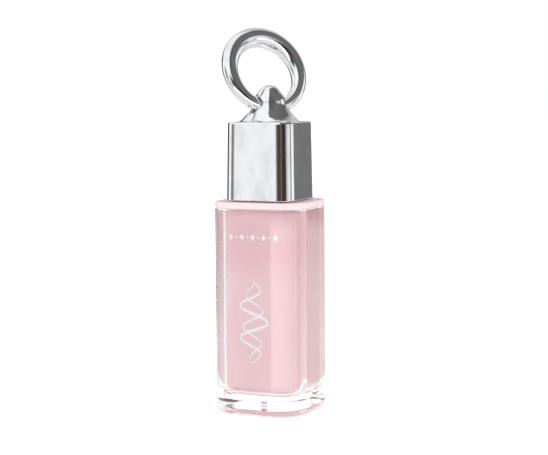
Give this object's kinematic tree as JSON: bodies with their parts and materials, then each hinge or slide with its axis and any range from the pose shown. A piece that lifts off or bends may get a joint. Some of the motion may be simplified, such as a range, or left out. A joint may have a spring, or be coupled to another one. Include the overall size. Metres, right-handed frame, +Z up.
{
  "type": "lip gloss tube",
  "caption": "Square lip gloss tube: clear outer bottle, coloured vial with neck and flange, screw cap with wand and doe-foot applicator, carry ring in an eye on the cap.",
  "frame": {"origin": "middle of the bottle's base, on the plane that it stands on", "axes": "+Z up along the neck and wand, -Y out of the printed front face, +X out of the right face"},
  "size_m": [0.02, 0.0207, 0.0785],
  "materials": {
    "clear_plastic": "clear, polished",
    "pink_plastic": "smooth, opaque",
    "gloss": "wet",
    "wiper_plastic": "soft, milky",
    "chrome": "bright plated",
    "white_plastic": "moulded",
    "liner_foam": "foamed",
    "stem_plastic": "moulded",
    "core_plastic": "moulded",
    "flock": "short flocked fibre"
  },
  "bodies": {
    "bottle": {"outer_bottle": "clear_plastic", "inner_vial": "pink_plastic", "gloss_fill": "gloss", "wiper": "wiper_plastic"},
    "seal": {"cap_liner": "liner_foam"},
    "cap": {"cap_shell": "chrome", "cap_insert": "white_plastic", "wand_stem": "stem_plastic", "applicator_core": "core_plastic", "applicator_flock": "flock"},
    "ring": {"carry_ring": "chrome"}
  },
  "joints": [
    {"name": "cap_lift", "type": "slide", "parent": "bottle", "child": "seal", "axis": [0, 0, 1], "range_m": [0, 0.0481]},
    {"name": "cap_twist", "type": "hinge", "parent": "seal", "child": "cap", "pos_m": [0, 0, 0.05], "axis": [0, 0, 1], "range_deg": [0, 2880]},
    {"name": "ring_swing", "type": "hinge", "parent": "cap", "child": "ring", "pos_m": [0, 0, 0.0625], "axis": [0.6428, 0.766, 0], "range_deg": [-60, 90]}
  ],
  "couplings": [
    {"joint": "cap_lift", "follows": "cap_twist", "m_per_rad": 0.00095493}
  ]
}
